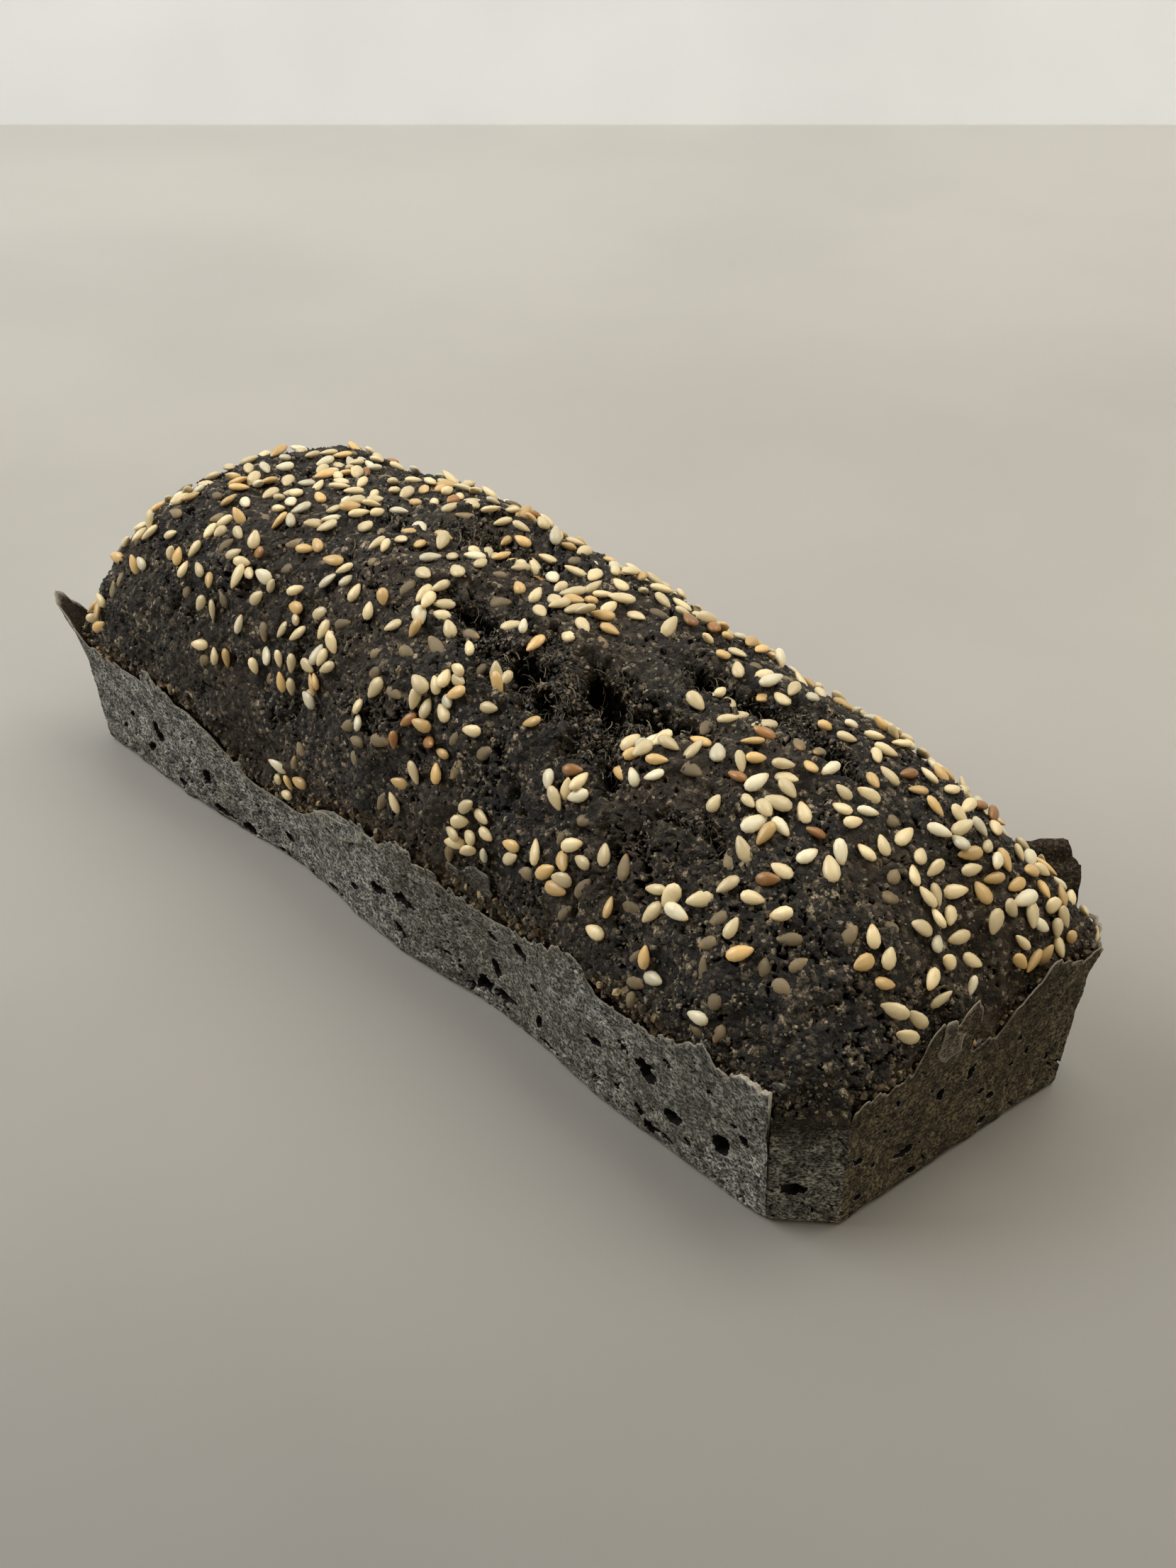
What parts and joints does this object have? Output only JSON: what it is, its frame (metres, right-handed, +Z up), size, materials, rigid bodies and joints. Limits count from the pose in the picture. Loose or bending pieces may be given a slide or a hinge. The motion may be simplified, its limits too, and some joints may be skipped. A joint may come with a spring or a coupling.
{
  "type": "sesame charcoal loaf",
  "caption": "Narrow tin loaf of charcoal bread with a high torn dark crown, flat grey sides with a ragged standing crust edge, and sesame seeds over the top.",
  "frame": {"origin": "middle of the loaf's box at the level of its flat foot", "axes": "+X along the loaf towards the end whose chamfered corner shows, +Z up, -Y towards the long side that shows"},
  "size_m": [0.1719, 0.0601, 0.0541],
  "materials": {
    "charcoal_crust": "matt, rough and pitted, with cream sesame seeds"
  },
  "bodies": {
    "root": {"loaf": "charcoal_crust"}
  },
  "joints": []
}
